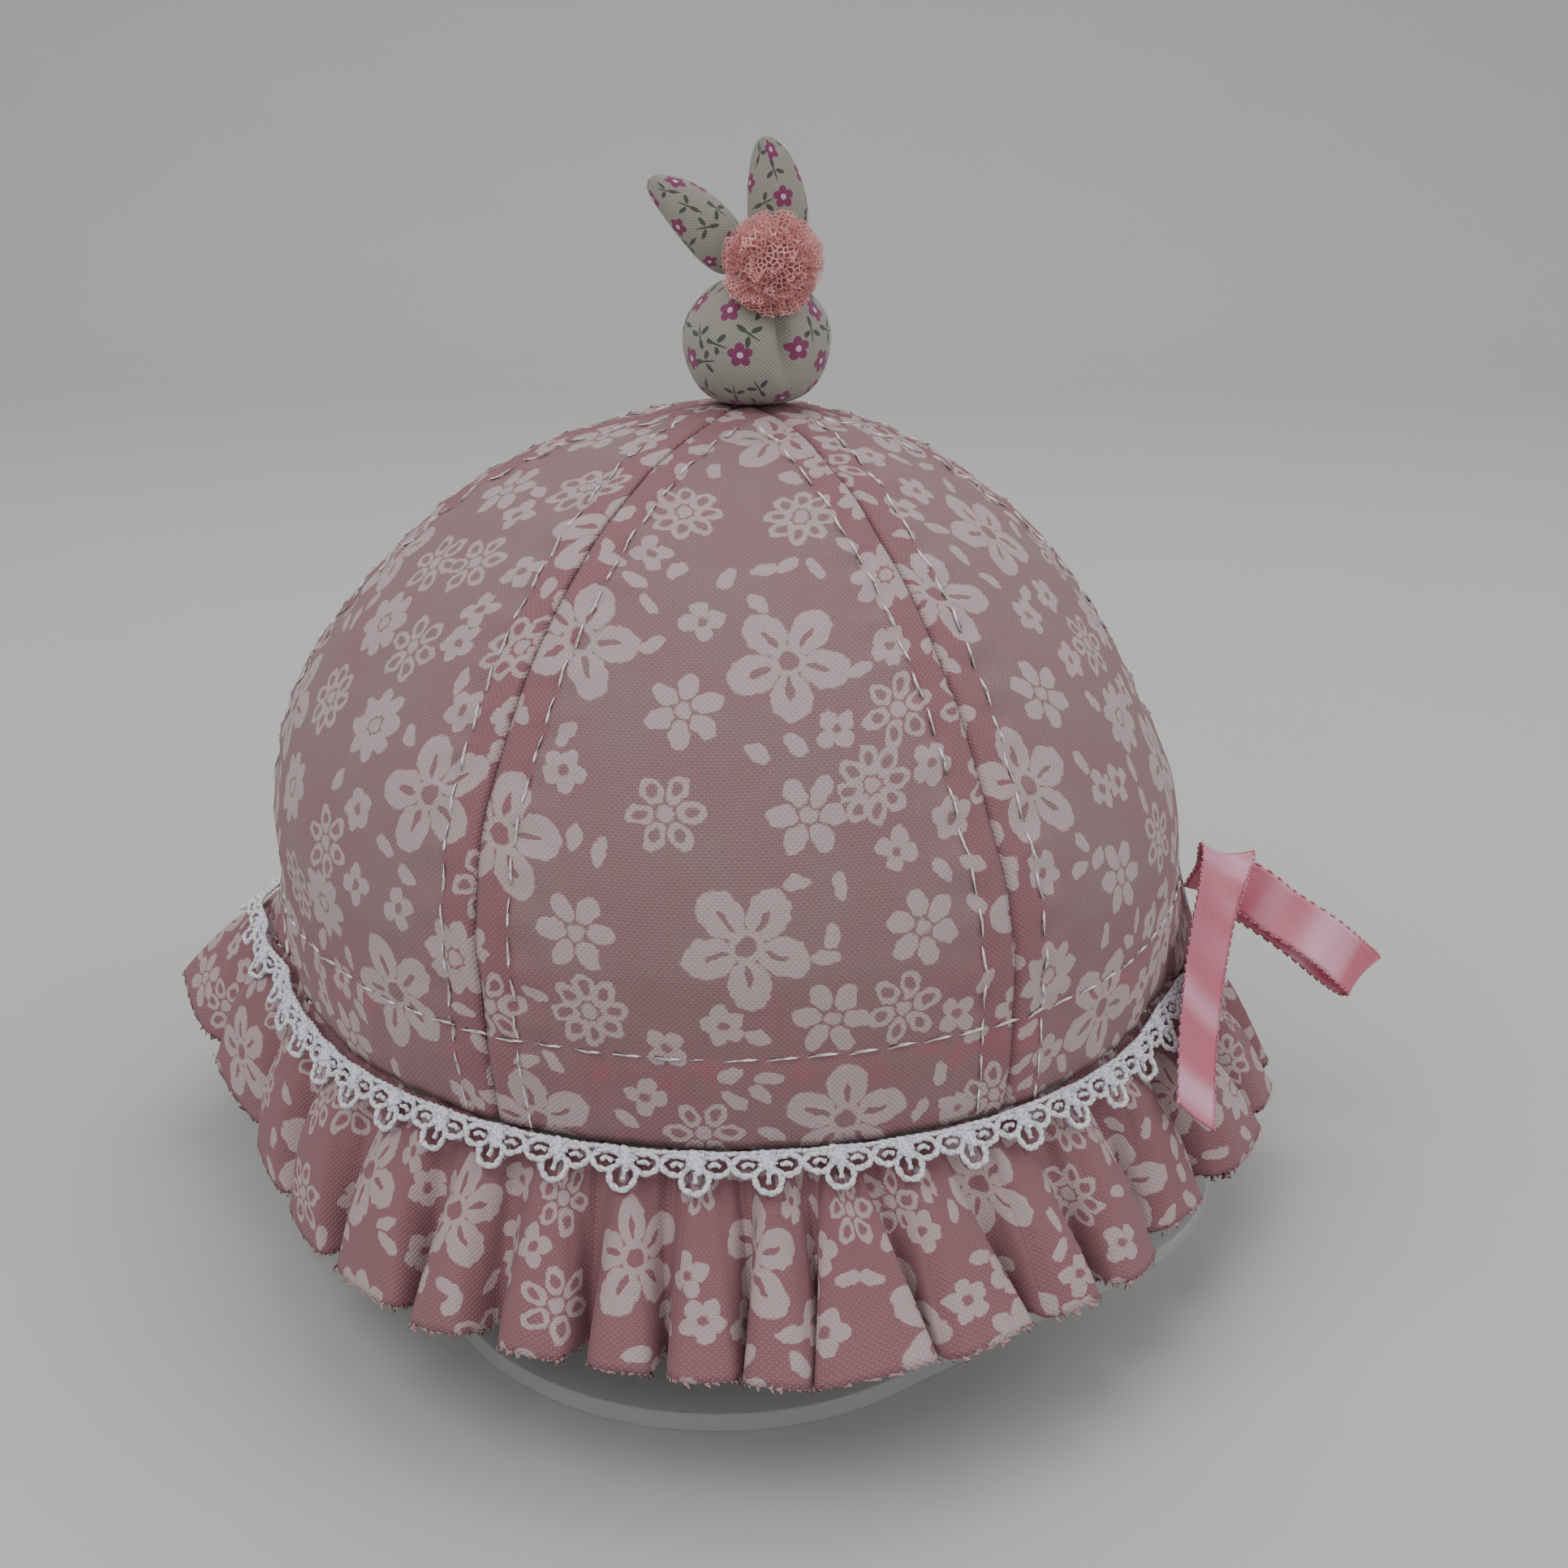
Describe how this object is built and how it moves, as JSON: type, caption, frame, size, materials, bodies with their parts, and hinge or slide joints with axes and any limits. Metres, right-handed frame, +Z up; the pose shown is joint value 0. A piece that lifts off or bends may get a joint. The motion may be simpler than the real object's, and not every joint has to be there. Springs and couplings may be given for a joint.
{
  "type": "baby sun bonnet on a clear stand",
  "caption": "Gored cotton sun bonnet with a gathered ruffle, lace edging, a satin ribbon and a small stuffed rabbit with a net pompom on its top, on a clear plastic stand.",
  "frame": {"origin": "bottom centre of the whole thing's box, on the surface the stand rests on", "axes": "+Z up, -Y towards the front of the bonnet, +X towards the side with the ribbon"},
  "size_m": [0.2142, 0.1876, 0.174],
  "materials": {
    "print_cotton": "thin dusty pink cotton lawn printed with off-white flowers and leaves",
    "lace_cotton": "white embroidered cotton lace",
    "satin_ribbon": "pink satin with woven edges",
    "cream_cotton": "cream cotton printed with small flowers and leaf sprigs",
    "pink_net": "fine pink net, gathered",
    "clear_plastic": "clear, polished"
  },
  "bodies": {
    "root": {"crown_panel_front": "print_cotton", "crown_panel_front_right": "print_cotton", "crown_panel_back_right": "print_cotton", "crown_panel_back": "print_cotton", "crown_panel_back_left": "print_cotton", "crown_panel_front_left": "print_cotton", "hem_facing": "print_cotton", "ruffle": "print_cotton", "lace_trim": "lace_cotton", "ribbon_tail": "satin_ribbon", "ribbon_loop": "satin_ribbon", "rabbit_head": "cream_cotton", "rabbit_ear_left": "cream_cotton", "rabbit_ear_right": "cream_cotton", "pompom": "pink_net", "stand_base": "clear_plastic", "stand_post": "clear_plastic", "stand_dome": "clear_plastic"}
  },
  "joints": []
}
